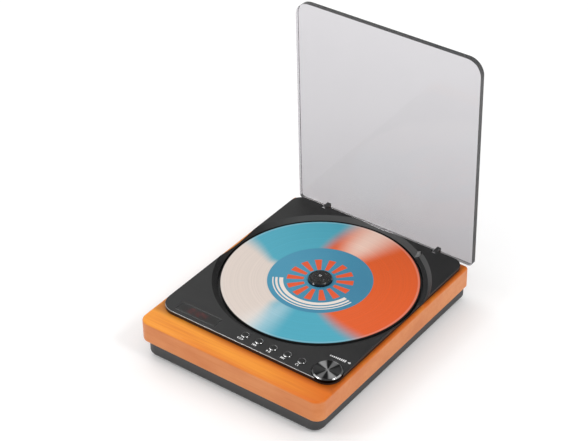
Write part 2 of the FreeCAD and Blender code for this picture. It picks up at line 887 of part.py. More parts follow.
def add_deck_bosses(body):
    bosses = new_sketch(body, "case_bosses", z=plinth_top)
    pilots = new_sketch(body, "case_pilots", z=d.case_boss_top)
    for x, y in case_boss_places:
        draw_circle(bosses, x, y, d.case_boss_radius)
        draw_circle(pilots, x, y, d.case_screw_radius + d.screw_fit)
    pad(body, bosses, plinth_top - d.case_boss_top, backwards=True)
    board_bosses = new_sketch(body, "board_bosses", z=plinth_top)
    board_pilots = new_sketch(body, "board_pilots", z=control_board_top)
    for x, y in board_boss_places:
        draw_circle(board_bosses, x, y, d.board_boss_radius)
        draw_circle(board_pilots, x, y, d.board_screw_radius + d.screw_fit)
    pad(body, board_bosses, d.control_board_drop, backwards=True)
    pocket(body, pilots, d.case_screw_bite, backwards=True)
    pocket(body, board_pilots, d.board_screw_bite, backwards=True)


# Lid and hinges

notch_width = d.hinge_arm_width + d.hinge_side_gap * 2
pin_length = notch_width + d.hinge_pin_bite * 2


def lid_frame(piece):
    """Stands a lid piece, drawn upright about the hinge line, at its open lean."""
    piece.Placement = FreeCAD.Placement(
        FreeCAD.Vector(), FreeCAD.Rotation(FreeCAD.Vector(1, 0, 0), d.lid_lean.value))
    bind(piece, Placement__Rotation__Angle=d.lid_lean)
    move(piece, 0, hinge_y, hinge_z)


lid_reach = lid_front_y - hinge_y
lid_low = lid_bottom_z - hinge_z
lid_length = hinge_y - lid_low - (deck_front - d.lid_overhang)


def make_lid():
    body = new_body("lid")
    outline = new_sketch(body, "lid_outline", role="XZ_Plane", y=lid_reach)
    half = plinth_half - d.lid_side_inset
    draw_rounded(outline, -half, half, lid_low, lid_low + lid_length,
                 d.lid_back_corner, d.lid_front_corner, d.lid_front_corner, d.lid_back_corner)
    pad(body, outline, d.lid_thickness, backwards=True)
    round_edges(body, d.lid_edge_round, lid_reach, axis="y")
    round_edges(body, d.lid_edge_round, lid_reach + d.lid_thickness, axis="y")
    lid_frame(body)
    return keep(body, "lid")


def make_hinge_arm(name, side):
    """An arm seated on the pin's barrel, reaching back to a pad down the lid's front face."""
    body = new_body(name)
    middle = side * d.hinge_spacing / 2
    barrel = d.hinge_barrel_radius
    pad_front = lid_reach - d.hinge_pad_thickness
    arm = new_sketch(body, f"{name}_bar", role="YZ_Plane", x=middle)
    draw_polygon(arm, [
        (barrel / 2, -barrel), (pad_front, -barrel), (pad_front, -d.hinge_pad_drop),
        (lid_reach, -d.hinge_pad_drop), (lid_reach, barrel), (barrel / 2, barrel)])
    pad(body, arm, d.hinge_arm_width, both_ways=True)
    seat = new_sketch(body, f"{name}_seat", role="YZ_Plane", x=middle)
    draw_circle(seat, 0, 0, barrel + d.screw_fit)
    pocket(body, seat, d.hinge_arm_width, both_ways=True)
    lid_frame(body)
    return keep(body, name)


def make_hinge_pins():
    """Stepped pins: a barrel between the notch's walls and thin ends that turn in them."""
    pins = []
    for n, side in enumerate((-1, 1)):
        middle = side * d.hinge_spacing / 2
        pins.append(fuse(f"hinge_pin_{n}", [
            axle(f"hinge_barrel_{n}", middle, d.hinge_arm_width, d.hinge_barrel_radius),
            axle(f"hinge_axle_{n}", middle, pin_length, d.hinge_pin_radius),
        ]))
    return keep(group("hinge_pin_group", pins), "hinge_pins")


def axle(name, middle, length, radius):
    """A round bar along the hinge line."""
    cylinder = doc.addObject("Part::Cylinder", name)
    cylinder.Placement = FreeCAD.Placement(
        FreeCAD.Vector(), FreeCAD.Rotation(FreeCAD.Vector(0, 1, 0), 90))
    bind(cylinder, Radius=radius, Height=length)
    move(cylinder, middle - length / 2, hinge_y, hinge_z)
    return cylinder


# Controls

def make_knob():
    """A low round knob with a bevelled rim, a dished top and a boss for its shaft."""
    body = new_body("volume_knob")
    sketch = new_sketch(body, "knob_profile", role="XZ_Plane")
    bore = d.shaft_radius + d.screw_fit
    roof = d.knob_height - d.knob_chamfer - d.knob_dish
    boss = d.knob_boss_radius
    skirt = d.knob_radius - d.knob_chamfer * 2
    draw_polygon(sketch, [
        (0, roof), (bore, roof), (bore, 0), (boss, 0), (boss, roof - d.knob_dish),
        (skirt, roof - d.knob_dish), (skirt, 0), (d.knob_radius, 0),
        (d.knob_radius, d.knob_height - d.knob_chamfer),
        (d.knob_radius - d.knob_chamfer, d.knob_height),
        (d.knob_radius - d.knob_chamfer * 2, d.knob_height - d.knob_dish),
        (0, d.knob_height - d.knob_dish)])
    revolve(body, sketch)
    move(body, knob_x, knob_y, deck_top + d.knob_proud - d.knob_height)
    return keep(body, "volume_knob")


def make_encoder():
    half = d.encoder_width / 2
    case_top = control_board_top + d.encoder_height
    bushing_top = knob_recess_z
    case = block("encoder_case", knob_x - half, knob_x + half, knob_y - half, knob_y + half,
                 control_board_top, case_top)
    bushing = post("encoder_bushing", knob_x, knob_y, case_top, bushing_top, d.bushing_radius)
    well = post("encoder_well", knob_x, knob_y, case_top - d.shaft_depth, bushing_top,
                d.shaft_radius + d.running_fit)
    keep(cut("encoder", fuse("encoder_solid", [case, bushing]), well), "encoder_body")
    shaft_top = deck_top + d.knob_proud - d.knob_chamfer - d.knob_dish
    keep(post("shaft", knob_x, knob_y, case_top - d.shaft_depth, shaft_top, d.shaft_radius),
         "encoder_shaft")


def make_button(name, x, y):
    """A round cap with a softened edge on a wider flange that stops under the deck."""
    body = new_body(name)
    sketch = new_sketch(body, f"{name}_profile", role="XZ_Plane")
    flange_top = d.button_flange_height
    cap_top = flange_top + d.deck_height + d.button_proud
    draw_polygon(sketch, [
        (0, 0), (d.button_flange_radius, 0), (d.button_flange_radius, flange_top),
        (d.button_radius, flange_top), (d.button_radius, cap_top - d.button_edge),
        (d.button_radius - d.button_edge, cap_top), (0, cap_top)])
    revolve(body, sketch)
    move(body, x, y, plinth_top - d.button_flange_height)
    return keep(body, name)


def make_switches():
    half = d.switch_width / 2
    plunger_top = plinth_top - d.button_flange_height - d.button_travel - d.plunger_gap
    switch_top = control_board_top + d.switch_height
    switches = []
    for n, (x, y) in enumerate(button_places):
        case = block(f"switch_case_{n}", x - half, x + half, y - half, y + half,
                     control_board_top, switch_top)
        plunger = post(f"switch_plunger_{n}", x, y, switch_top, plunger_top, d.plunger_radius)
        switches.append(fuse(f"switch_{n}", [case, plunger]))
    return keep(group("switch_group", switches), "tact_switches")


def make_display():
    """A smoked window in the deck, with the digits and the remote receiver right under it."""
    half_depth = d.window_depth / 2
    display_top = deck_top - d.window_thickness
    keep(block("window", window_left, window_right, window_y - half_depth, window_y + half_depth,
               display_top, deck_top), "display_window")
    receiver_right = window_right - d.receiver_right_gap
    receiver_left = receiver_right - d.receiver_width
    half = d.receiver_width / 2
    keep(block("receiver", receiver_left, receiver_right, window_y - half, window_y + half,
               control_board_top, display_top), "infrared_receiver")
    half_digits = d.digits_depth / 2
    keep(block("digits", window_left + d.digits_left_gap, receiver_left - d.digits_right_gap,
               window_y - half_digits, window_y + half_digits, control_board_top, display_top),
         "display_digits")


def make_control_board():
    front = cavity_front + d.control_board_gap
    half_width = cavity_half - d.control_board_gap
    board = block("control_board_sheet", -half_width, half_width, front,
                  front + d.control_board_depth, control_board_bottom, control_board_top)
    holes = [
        post(f"control_board_hole_{n}", x, y, control_board_bottom, control_board_top,
             d.board_screw_radius + d.screw_fit)
        for n, (x, y) in enumerate(board_boss_places)
    ]
    keep(cut("control_board", board, fuse("control_board_holes", holes)), "control_board")
    screws = [
        screw(f"control_screw_{n}", x, y, control_board_bottom,
              control_board_top + d.board_screw_bite - d.clearance, d.board_screw_radius,
              d.board_head_radius, d.board_head_height, head_up=False)
        for n, (x, y) in enumerate(board_boss_places)
    ]
    keep(group("control_screw_group", screws), "control_board_screws")


# Disc, hub and spindle

def make_disc():
    body = new_body("disc")
    sketch = new_sketch(body, "disc_outline")
    draw_circle(sketch, 0, 0, d.disc_radius)
    draw_circle(sketch, 0, 0, d.disc_hole_radius)
    pad(body, sketch, d.disc_thickness)
    move(body, 0, disc_y, disc_bottom)
    return keep(body, "disc")


ball_ring = d.hub_neck_radius + d.ball_reach - d.ball_radius
ball_level = d.hub_spigot_height + d.hub_neck_height / 2


def make_hub():
    """A flange that carries the disc, a spigot through its hole, a neck with balls and a cap."""
    body = new_body("hub")
    sketch = new_sketch(body, "hub_profile", role="XZ_Plane")
    spigot = d.disc_hole_radius - d.hub_fit
    neck_top = d.hub_spigot_height + d.hub_neck_height
    bore = d.spindle_radius + d.screw_fit
    low = -d.hub_flange_height
    cap_top = neck_top + d.hub_cap_height
    shoulder = neck_top + d.hub_bevel
    draw_polygon(sketch, [
        (bore, low - d.hub_boss_height), (d.hub_boss_radius, low - d.hub_boss_height),
        (d.hub_boss_radius, low), (d.hub_flange_radius, low), (d.hub_flange_radius, 0),
        (spigot, 0), (spigot, d.hub_spigot_height), (d.hub_neck_radius, d.hub_spigot_height),
        (d.hub_neck_radius, neck_top), (d.hub_neck_radius - d.hub_bevel, shoulder),
        (d.hub_cap_radius, shoulder), (d.hub_cap_radius - d.hub_bevel, cap_top), (bore, cap_top)])
    revolve(body, sketch)
    for n, turn in enumerate(BALL_TURNS):
        cut_ball_seat(body, n, turn)
    move(body, 0, disc_y, disc_bottom)
    return keep(body, "turntable_hub")


def cut_ball_seat(body, n, turn):
    """A square seat cut inwards from the neck, facing the given way."""
    seat = new_sketch(body, f"ball_seat_{n}", role="XZ_Plane", z=ball_level)
    facing = FreeCAD.Rotation(FreeCAD.Vector(0, 1, 0), turn)
    seat.AttachmentOffset = FreeCAD.Placement(seat.AttachmentOffset.Base, facing)
    radius = d.ball_radius + d.ball_fit
    draw_rectangle(seat, ball_ring - radius, d.disc_hole_radius, -radius, radius)
    pocket(body, seat, radius * 2, both_ways=True)


def make_balls():
    balls = []
    for n, turn in enumerate(BALL_TURNS):
        ball = doc.addObject("Part::Sphere", f"ball_{n}")
        bind(ball, Radius=d.ball_radius)
        along, across = math.cos(math.radians(turn)), math.sin(math.radians(turn))
        move(ball, ball_ring * along, disc_y + ball_ring * across, disc_bottom + ball_level)
        balls.append(ball)
    return keep(group("ball_group", balls), "hub_locking_balls")


def make_spindle():
    hub_top = disc_bottom + d.hub_spigot_height + d.hub_neck_height + d.hub_cap_height
    spindle_low = chassis_bottom - d.spindle_depth
    keep(post("spindle", 0, disc_y, spindle_low, hub_top + d.spindle_proud, d.spindle_radius),
         "spindle_shaft")
    case = post("motor_case", 0, disc_y, chassis_bottom - d.motor_height, chassis_bottom,
                d.motor_radius)
    well = post("motor_well", 0, disc_y, spindle_low, chassis_bottom,
                d.spindle_radius + d.running_fit)
    keep(cut("motor", case, well), "spindle_motor")


# Drive

rod_x = d.chassis_half_width * d.rod_share
screw_x = d.chassis_half_width * d.screw_share
sled_half = d.chassis_half_width * d.sled_share
wing_half = d.chassis_half_width * d.wing_share
window_half = d.chassis_half_width * d.window_share
rod_z = chassis_bottom - d.sled_drop - d.sled_wing_height / 2
sled_wing_top = chassis_bottom - d.sled_drop
lens_y = disc_y - d.lens_inner
rod_front = disc_y - chassis_reach
rod_back = lens_y + d.sled_back + d.clearance * 2 + d.bracket_depth
screw_z = chassis_bottom - d.sled_motor_radius


def make_chassis():
    """A flat frame with a window for the sled and hanging brackets for rods and lead screw."""
    front, back = rod_front, disc_y + d.chassis_back
    plate = block("chassis_plate", -d.chassis_half_width, d.chassis_half_width, front, back,
                  chassis_bottom, chassis_top)
    bracket_low = rod_z - d.bracket_width / 2
    brackets = []
    for n, (x, low) in enumerate(bracket_places(front)):
        half = d.bracket_width / 2
        brackets.append(block(f"bracket_{n}", x - half, x + half, low, low + d.bracket_depth,
                              bracket_low, chassis_bottom))
    window = block("chassis_window_gap", -window_half, window_half,
                   front + d.bracket_depth, lens_y + d.sled_back + d.clearance * 2,
                   chassis_bottom, chassis_top)
    spindle_hole = post("chassis_spindle_hole", 0, disc_y, chassis_bottom, chassis_top,
                        d.hub_boss_radius + d.clearance)
    holes = [
        post(f"chassis_screw_hole_{n}", x, y, chassis_bottom, chassis_top,
             d.chassis_screw_radius + d.screw_fit)
        for n, (x, y) in enumerate(post_places)
    ]
    rod_holes = [
        bar(f"rod_hole_{n}", side * rod_x, rod_front, rod_back, rod_z,
            d.rod_radius + d.screw_fit)
        for n, side in enumerate((-1, 1))
    ]
    screw_hole = bar("screw_hole", screw_x, front, front + d.bracket_depth, screw_z,
                     d.lead_screw_radius + d.running_fit)
    solid = fuse("chassis_solid", [plate] + brackets)
    gaps = fuse("chassis_gaps", [window, spindle_hole, screw_hole] + holes + rod_holes)
    return keep(cut("chassis", solid, gaps), "drive_chassis")


def bracket_places(front):
    back = rod_back - d.bracket_depth
    places = [(side * rod_x, y) for side in (-1, 1) for y in (front, back)]
    return places + [(screw_x, front)]


def make_dampers():
    dampers = []
    screws = []
    for n, (x, y) in enumerate(post_places):
        ring = post(f"damper_ring_{n}", x, y, post_top, chassis_bottom, d.damper_radius)
        hole = post(f"damper_hole_{n}", x, y, post_top, chassis_bottom,
                    d.chassis_screw_radius + d.screw_fit)
        dampers.append(cut(f"damper_{n}", ring, hole))
        screws.append(screw(f"chassis_screw_{n}", x, y, chassis_top,
                            post_top - d.chassis_screw_bite + d.clearance,
                            d.chassis_screw_radius, d.chassis_head_radius,
                            d.chassis_head_height, head_up=True))
    keep(group("damper_group", dampers), "chassis_dampers")
    keep(group("chassis_screw_group", screws), "chassis_screws")


def make_rods():
    rods = [
        bar(f"rod_{n}", side * rod_x, rod_front, rod_back, rod_z, d.rod_radius)
        for n, side in enumerate((-1, 1))
    ]
    return keep(group("rod_group", rods), "guide_rods")


def make_sled():
    """A body under the chassis window, with wings on the rods and a follower at the lead screw."""
    front, back = lens_y - d.sled_front, lens_y + d.sled_back
    wing_low = sled_wing_top - d.sled_wing_height
    top = tub_bottom - d.sled_top_gap
    follower_half = d.follower_width / 2
    pieces = [
        block("sled_wings", -wing_half, wing_half, front, back, wing_low, sled_wing_top),
        block("sled_body", -sled_half, sled_half, front, back, wing_low, top),
        block("sled_follower", wing_half, screw_x + follower_half, front,
              front + d.follower_width, wing_low, sled_wing_top),
    ]
    gaps = [
        bar(f"sled_bore_{n}", side * rod_x, front, back, rod_z, d.rod_radius + d.running_fit)
        for n, side in enumerate((-1, 1))
    ]
    gaps.append(bar("follower_bore", screw_x, front, front + d.follower_width, screw_z,
                    d.lead_screw_radius + d.clearance))
    keep(cut("sled", fuse("sled_solid", pieces), fuse("sled_gaps", gaps)), "pickup_sled")
    keep(post("lens", 0, lens_y, top, top + d.lens_height, d.lens_radius), "pickup_lens")


def make_sled_drive():
    motor_front = rod_back + d.clearance * 2
    keep(bar("sled_motor_case", screw_x, motor_front, motor_front + d.sled_motor_length,
             screw_z, d.sled_motor_radius), "sled_motor")
    keep(bar("lead_screw_bar", screw_x, rod_front, motor_front, screw_z,
             d.lead_screw_radius), "lead_screw")


# Main board

def make_main_board():
    sheet = block("main_board_sheet", -main_board_half, main_board_half, main_board_front,
                  main_board_back, main_board_bottom, main_board_top)
    holes = [
        post(f"main_board_hole_{n}", x, y, main_board_bottom, main_board_top,
             d.board_screw_radius + d.screw_fit)
        for n, (x, y) in enumerate(standoff_places)
    ]
    keep(cut("main_board", sheet, fuse("main_board_holes", holes)), "main_board")
    screws = [
        screw(f"main_screw_{n}", x, y, main_board_top, main_board_bottom - main_board_lift,
              d.board_screw_radius, d.board_head_radius, d.board_head_height, head_up=True)
        for n, (x, y) in enumerate(standoff_places)
    ]
    keep(group("main_screw_group", screws), "main_board_screws")


def make_board_pieces():
    middle = (main_board_front + main_board_back) / 2
    half = d.chip_width / 2
    keep(block("chip", -half, half, middle - half, middle + half, main_board_top,
               main_board_top + d.chip_height), "controller_chip")
    module_x = main_board_half - d.module_inset
    module_front = main_board_front + d.module_front_gap
    keep(block("module", module_x - d.module_width / 2, module_x + d.module_width / 2,
               module_front, module_front + d.module_depth, main_board_top,
               main_board_top + d.module_height), "wireless_module")
    capacitors = [
        post(f"capacitor_{n}", d.capacitor_inset - main_board_half,
             middle + d.capacitor_pitch * (n - (CAPACITOR_COUNT - 1) / 2),
             main_board_top, main_board_top + d.capacitor_height, d.capacitor_radius)
        for n in range(CAPACITOR_COUNT)
    ]
    keep(group("capacitor_group", capacitors), "capacitors")


def make_power_inlet():
    """A flat metal shell, open at the back, with a tongue on its middle."""
    body = new_body("inlet")
    front = base_back - d.inlet_depth
    half_width, half_height = d.inlet_width / 2, d.inlet_height / 2
    wall = d.inlet_wall
    shell = new_sketch(body, "inlet_shell", role="XZ_Plane", x=inlet_x, y=base_back, z=inlet_z)
    draw_rounded(shell, -half_width, half_width, -half_height, half_height,
                 half_height - d.screw_fit)
    pad(body, shell, d.inlet_depth)
    mouth = new_sketch(body, "inlet_mouth", role="XZ_Plane", x=inlet_x, y=base_back, z=inlet_z)
    draw_rounded(mouth, wall - half_width, half_width - wall, wall - half_height,
                 half_height - wall, half_height - wall - d.screw_fit)
    pocket(body, mouth, d.inlet_depth - wall * 2, backwards=True)
    tongue = new_sketch(body, "inlet_tongue", role="XZ_Plane", x=inlet_x, y=front, z=inlet_z)
    draw_rectangle(tongue, wall * 4 - half_width, half_width - wall * 4, -d.inlet_tongue / 2,
                   d.inlet_tongue / 2)
    pad(body, tongue, d.inlet_depth - wall * 4, backwards=True)
    return keep(body, "power_inlet")


def make_audio_jack():
    """A box on the board with a round barrel through the back wall and a blind bore."""
    front = base_back - d.base_back_wall - d.jack_depth
    inner_back = base_back - d.base_back_wall - d.port_gap
    half = d.jack_width / 2
    case = block("jack_case", jack_x - half, jack_x + half, front, inner_back,
                 main_board_top, main_board_top + d.jack_barrel_radius * 2)
    barrel = bar("jack_barrel", jack_x, inner_back, base_back, jack_z, d.jack_barrel_radius)
    bore = bar("jack_bore", jack_x, base_back - d.jack_depth, base_back, jack_z, d.jack_bore_radius)
    return keep(cut("jack", fuse("jack_solid", [case, barrel]), bore), "audio_jack")


def build_all():
    make_plinth()
    make_base_pan()
    make_feet()
    make_case_screws()
    make_deck()
    make_lid()
    make_hinge_arm("hinge_arm_left", -1)
    make_hinge_arm("hinge_arm_right", 1)
    make_hinge_pins()
    make_knob()
    make_encoder()
    for name, (x, y) in zip(BUTTON_NAMES, button_places):
        make_button(name, x, y)
    make_switches()
    make_display()
    make_control_board()
    make_disc()
    make_hub()
    make_balls()
    make_spindle()
    make_chassis()
    make_dampers()
    make_rods()
    make_sled()
    make_sled_drive()
    make_main_board()
    make_board_pieces()
    make_power_inlet()
    make_audio_jack()
    doc.recompute()


def check_all():
    for piece in doc.Objects:
        if "Invalid" in piece.State or "Error" in piece.State:
            raise RuntimeError(f"{piece.Name} failed: {piece.State}")
    for piece in subparts:
        if piece.Shape.isNull() or not piece.Shape.isValid() or not piece.Shape.Solids:
            raise RuntimeError(f"{piece.Label} has no valid solid")


def write_all():
    os.makedirs("parts", exist_ok=True)
    for piece in subparts:
        piece.Shape.exportStep(f"parts/{piece.Label}.step")


build_all()
check_all()
write_all()
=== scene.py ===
import json
import math

import bpy
from mathutils import Matrix, Vector

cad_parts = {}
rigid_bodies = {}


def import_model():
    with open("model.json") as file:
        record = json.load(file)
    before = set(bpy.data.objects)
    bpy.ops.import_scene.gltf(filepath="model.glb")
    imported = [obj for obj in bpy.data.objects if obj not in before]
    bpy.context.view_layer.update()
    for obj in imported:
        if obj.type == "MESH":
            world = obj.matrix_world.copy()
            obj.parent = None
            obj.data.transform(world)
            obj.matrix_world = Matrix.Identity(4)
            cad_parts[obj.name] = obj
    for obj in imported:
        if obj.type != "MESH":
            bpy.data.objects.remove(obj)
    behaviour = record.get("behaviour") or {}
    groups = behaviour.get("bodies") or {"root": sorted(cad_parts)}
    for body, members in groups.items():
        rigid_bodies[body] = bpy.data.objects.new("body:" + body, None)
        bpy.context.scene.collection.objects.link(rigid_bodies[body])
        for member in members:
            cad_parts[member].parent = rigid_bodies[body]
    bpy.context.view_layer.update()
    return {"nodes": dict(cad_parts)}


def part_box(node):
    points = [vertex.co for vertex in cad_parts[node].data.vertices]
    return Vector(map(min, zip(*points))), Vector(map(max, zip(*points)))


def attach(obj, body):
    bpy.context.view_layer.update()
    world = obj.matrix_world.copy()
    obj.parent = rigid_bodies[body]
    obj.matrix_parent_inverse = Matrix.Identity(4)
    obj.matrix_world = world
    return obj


# Looks of the CD player: materials, printed marks, digits, studio and camera. Metres.

for leftover in list(bpy.data.objects):
    bpy.data.objects.remove(leftover)

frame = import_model()
nodes = frame["nodes"]

MM = 0.001


def middle_of(node):
    low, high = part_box(node)
    return (Vector(low) + Vector(high)) / 2


DISC_MIDDLE = middle_of("disc")
KNOB_MIDDLE = middle_of("volume_knob")
DECK_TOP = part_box("display_window")[1].z
DECK_LOW, DECK_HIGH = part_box("deck")
PLINTH_LOW, PLINTH_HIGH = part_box("plinth")
LABEL_RADIUS = 31.8 * MM
PRINT_RADIUS = 59.4 * MM
GROOVE_PITCH = 0.55 * MM
KNOB_FACE_RADIUS = 8.0 * MM
BUTTONS = ("mode_button", "previous_button", "play_button", "next_button", "repeat_button")


# Node helpers

NOISE_LOW = 0.3
NOISE_HIGH = 0.7


class Shader:
    """A material under construction: adds nodes and links them by short calls."""

    def __init__(self, name):
        self.material = bpy.data.materials.new(name)
        self.material.use_nodes = True
        self.tree = self.material.node_tree
        self.surface = self.tree.nodes["Principled BSDF"]

    def add(self, kind, **settings):
        node = self.tree.nodes.new(kind)
        for name, value in settings.items():
            setattr(node, name, value)
        return node

    def link(self, source, target):
        self.tree.links.new(source, target)

    def feed(self, socket, value):
        """Sets a socket to a constant or links another node's output to it."""
        if isinstance(value, bpy.types.NodeSocket):
            self.link(value, socket)
        else:
            socket.default_value = value

    def set(self, **values):
        """Sets the surface's inputs, named with underscores for spaces."""
        for name, value in values.items():
            self.feed(self.surface.inputs[name.replace("_", " ")], value)

    def place(self):
        return self.add("ShaderNodeTexCoord").outputs["Object"]

    def facing(self):
        """The way the surface faces, as X, Y and Z parts."""
        return self.parts(self.add("ShaderNodeTexCoord").outputs["Normal"])

    def shifted(self, centre, turn=0.0, scale=(1, 1, 1)):
        """Object coordinates measured from a centre, optionally turned and scaled."""
        away = self.add("ShaderNodeVectorMath", operation="SUBTRACT")
        self.link(self.place(), away.inputs[0])
        away.inputs[1].default_value = centre
        mapping = self.add("ShaderNodeMapping")
        self.link(away.outputs[0], mapping.inputs["Vector"])
        mapping.inputs["Rotation"].default_value = (0, 0, turn)
        mapping.inputs["Scale"].default_value = scale
        return mapping.outputs["Vector"]

    def math(self, operation, first, second=0.0):
        node = self.add("ShaderNodeMath", operation=operation)
        self.feed(node.inputs[0], first)
        self.feed(node.inputs[1], second)
        return node.outputs[0]

    def parts(self, vector):
        node = self.add("ShaderNodeSeparateXYZ")
        self.link(vector, node.inputs[0])
        return node.outputs

    def polar(self, centre, start=0.0):
        """Distance from a centre and angle round it, in the flat, from a starting angle."""
        x, y, _ = self.parts(self.shifted(centre, turn=-start))
        square = self.math("ADD", self.math("MULTIPLY", x, x), self.math("MULTIPLY", y, y))
        return self.math("SQRT", square), self.math("ARCTAN2", y, x)

    def turn_wave(self, turn, middle, count=1):
        """A wave round a centre with its crest at an angle in degrees, repeated a few times."""
        away = self.math("SUBTRACT", turn, math.radians(middle))
        return self.math("COSINE", self.math("MULTIPLY", away, count))

    def along(self, value):
        """A vector with the value along X alone."""
        node = self.add("ShaderNodeCombineXYZ")
        self.link(value, node.inputs[0])
        return node.outputs[0]

    def noise(self, vector, scale, detail=3.0, rough=0.5):
        node = self.add("ShaderNodeTexNoise")
        self.link(vector, node.inputs["Vector"])
        node.inputs["Scale"].default_value = scale
        node.inputs["Detail"].default_value = detail
        node.inputs["Roughness"].default_value = rough
        return node.outputs["Fac"]

    def span(self, value, low, high, out_low=0.0, out_high=1.0, smooth=False):
        """Maps a range of values onto another, clamped."""
        node = self.add("ShaderNodeMapRange")
        node.interpolation_type = "SMOOTHSTEP" if smooth else "LINEAR"
        self.feed(node.inputs["Value"], value)
        node.inputs["From Min"].default_value = low
        node.inputs["From Max"].default_value = high
        node.inputs["To Min"].default_value = out_low
        node.inputs["To Max"].default_value = out_high
        return node.outputs["Result"]

    def vary(self, noise, low=0.0, high=1.0):
        """Maps the middle range of a noise, where most of it lies, onto a range of values."""
        return self.span(noise, NOISE_LOW, NOISE_HIGH, low, high)

    def band(self, value, low, high, soft):
        """One between two limits, falling to zero over a soft edge outside them."""
        rise = self.span(value, low - soft, low)
        fall = self.span(value, high, high + soft, 1.0, 0.0)
        return self.math("MULTIPLY", rise, fall)

    def mix(self, amount, first, second):
        node = self.add("ShaderNodeMix", data_type="RGBA")
        self.feed(node.inputs["Factor"], amount)
        self.feed(node.inputs["A"], first)
        self.feed(node.inputs["B"], second)
        return node.outputs["Result"]

    def bump(self, height, strength, distance):
        node = self.add("ShaderNodeBump")
        node.inputs["Strength"].default_value = strength
        node.inputs["Distance"].default_value = distance
        self.link(height, node.inputs["Height"])
        self.link(node.outputs["Normal"], self.surface.inputs["Normal"])

    def pass_shadows(self, tint):
        """Lets lamp light through a clear piece, tinted, so that its shadow is pale."""
        clear = self.add("ShaderNodeBsdfTransparent")
        clear.inputs["Color"].default_value = tint
        chosen = self.add("ShaderNodeMixShader")
        self.link(self.add("ShaderNodeLightPath").outputs["Is Shadow Ray"], chosen.inputs["Fac"])
        self.link(self.surface.outputs[0], chosen.inputs[1])
        self.link(clear.outputs[0], chosen.inputs[2])
        self.link(chosen.outputs[0], self.tree.nodes["Material Output"].inputs["Surface"])

    def turned_metal(self, amount):
        """Stretches the gloss along circles round the piece's own Z axis."""
        tangent = self.add("ShaderNodeTangent", direction_type="RADIAL", axis="Z")
        self.link(tangent.outputs[0], self.surface.inputs["Tangent"])
        self.surface.inputs["Anisotropic"].default_value = amount


def colour(red, green, blue):
    """A colour given as screen values from 0 to 255, turned into linear light."""
    def linear(value):
        value = value / 255
        if value <= 0.04045:
            return value / 12.92
        return ((value + 0.055) / 1.055) ** 2.4
    return (linear(red), linear(green), linear(blue), 1.0)


def grey(value):
    return colour(value, value, value)


def paint(material, *names):
    for name in names:
        slots = nodes[name].data.materials
        slots.clear()
        slots.append(material)


# Materials

def mottled(name, dark, light, roughness, metallic=0.0, scale=900.0, bump=0.0, spread=0.06):
    """A moulded or machined surface: slight colour and gloss variation and a fine texture."""
    m = Shader(name)
    broad = m.noise(m.place(), scale / 12)
    fine = m.noise(m.place(), scale, detail=4.0)
    m.set(Base_Color=m.mix(m.vary(broad), dark, light), Metallic=metallic)
    m.set(Roughness=m.vary(fine, roughness - spread, roughness + spread))
    if bump:
        m.bump(fine, bump, 0.05 * MM)
    return m.material


def wood_material():
    """Honey-coloured varnished wood, its grain along X, with a painted sheen that makes its sides paler and a
    painted shadow along the deck.
    """
    m = Shader("honey_wood")
    across, forward, _ = m.parts(m.place())
    upward = m.span(m.facing()[2], 0.2, 0.7)
    broad = m.noise(m.shifted((0, 0, 0), scale=(1, 7, 7)), 9.0, detail=2.0)
    streak = m.noise(m.shifted((0.2, 0, 0), scale=(1, 26, 26)), 18.0, detail=5.0, rough=0.6)
    pores = m.noise(m.shifted((0, 0.3, 0), scale=(1, 40, 40)), 60.0, detail=2.0)
    blotch = m.noise(m.shifted((0.1, 0.1, 0), scale=(1, 1, 2)), 40.0, detail=3.0)
    leftward = m.span(across, PLINTH_LOW.x, PLINTH_HIGH.x, 0.7, -0.5)
    yellower = m.math("ADD", m.vary(broad), leftward)
    ground = m.mix(yellower, colour(224, 112, 16), colour(249, 160, 46))
    # Painted sheen: the side colour is paler than the top, as the varnish reflects the white floor.
    side = m.mix(m.span(blotch, 0.35, 0.65), colour(213, 127, 70), colour(225, 144, 87))
    grained = m.mix(m.span(streak, 0.42, 0.72, 0.0, 0.5), m.mix(upward, side, ground),
                    m.mix(upward, colour(212, 122, 62), colour(210, 104, 20)))
    grained = m.mix(m.span(pores, 0.62, 0.76, 0.0, 0.25), grained, colour(172, 86, 22))
    # Painted shadow: the top darkens within 4 mm of the deck's edge, where the deck shades it.
    from_side = m.math("SUBTRACT", m.math("ABSOLUTE", across), DECK_HIGH.x)
    from_front = m.math("SUBTRACT", DECK_LOW.y, forward)
    painted_deck_shadow = m.span(m.math("MAXIMUM", from_side, from_front), 0.0, 4 * MM, 0.5, 0.0)
    shade = m.mix(m.math("MULTIPLY", painted_deck_shadow, upward), grained, colour(112, 44, 12))
    m.set(Base_Color=shade, Roughness=m.vary(streak, 0.34, 0.44), Specular_IOR_Level=0.35)
    m.bump(streak, 0.05, 0.1 * MM)
    return m.material


def base_material():
    """Dark grey moulded plastic, with painted shade that makes it darker towards the floor."""
    m = Shader("base_dark_grey")
    low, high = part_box("base_pan")
    height = m.parts(m.place())[2]
    fine = m.noise(m.place(), 900.0, detail=4.0)
    # Painted shade: darker towards the floor.
    shade = m.mix(m.span(height, low.z, high.z), colour(38, 40, 41), colour(66, 66, 67))
    m.set(Base_Color=m.mix(m.vary(fine, 0.0, 0.1), shade, grey(90)))
    m.set(Roughness=m.vary(fine, 0.44, 0.56))
    m.bump(fine, 0.1, 0.05 * MM)
    return m.material


